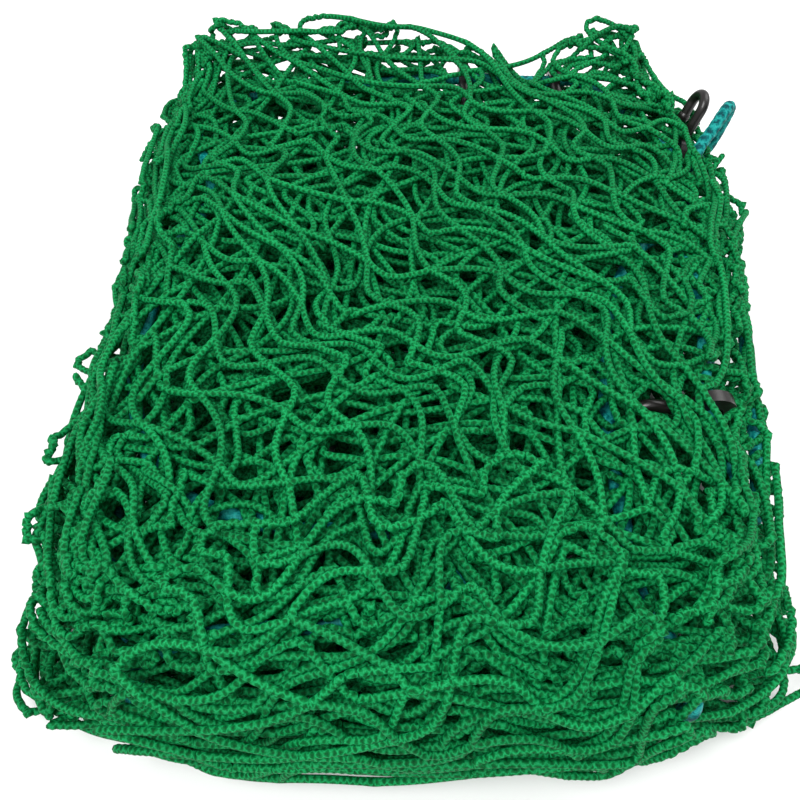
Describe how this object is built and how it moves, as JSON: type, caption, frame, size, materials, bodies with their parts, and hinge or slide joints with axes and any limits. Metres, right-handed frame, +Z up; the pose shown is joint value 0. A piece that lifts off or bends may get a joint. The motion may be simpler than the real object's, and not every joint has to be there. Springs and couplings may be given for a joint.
{
  "type": "folded braided net",
  "caption": "Folded pack of green knotless braided netting with a turquoise edge rope and black hooks on the rope; the last fold opens like a book.",
  "frame": {"origin": "centre of the pack's footprint, on the surface it lies on", "axes": "+Z up, +Y from the front fold towards the open back edge, +X to the right seen from the front fold"},
  "size_m": [0.3759, 0.4439, 0.1025],
  "materials": {
    "netting": "matte braided synthetic twine",
    "edge_rope": "braided synthetic rope with a soft sheen",
    "hooks": "satin moulded plastic"
  },
  "bodies": {
    "lower_half": {"netting_lower_half": "netting", "edge_rope_lower": "edge_rope"},
    "upper_half": {"netting_upper_half": "netting", "edge_rope_upper": "edge_rope"},
    "back_right_hook": {"hook_back_right": "hooks"},
    "back_middle_hook": {"hook_back_middle": "hooks"},
    "back_left_hook": {"hook_back_left": "hooks"},
    "right_side_hook": {"hook_right_side": "hooks"}
  },
  "joints": [
    {"name": "fold_open", "type": "hinge", "parent": "lower_half", "child": "upper_half", "pos_m": [0, -0.222, 0.049], "axis": [1, 0, 0], "range_deg": [0, 179]},
    {"name": "back_right_hook_turn", "type": "hinge", "parent": "upper_half", "child": "back_right_hook", "pos_m": [0.157, 0.126, 0.065], "axis": [0.9397, 0, -0.342], "range_deg": [-36, 8]},
    {"name": "back_middle_hook_turn", "type": "hinge", "parent": "upper_half", "child": "back_middle_hook", "pos_m": [0.087, 0.188, 0.077], "axis": [-1, 0, 0], "range_deg": [0, 10]},
    {"name": "back_left_hook_turn", "type": "hinge", "parent": "upper_half", "child": "back_left_hook", "pos_m": [0.028, 0.189, 0.078], "axis": [-1, 0, 0], "range_deg": [0, 10]},
    {"name": "right_side_hook_turn", "type": "hinge", "parent": "upper_half", "child": "right_side_hook", "pos_m": [0.126, -0.08, 0.074], "axis": [0, 1, 0], "range_deg": [0, 8]}
  ]
}
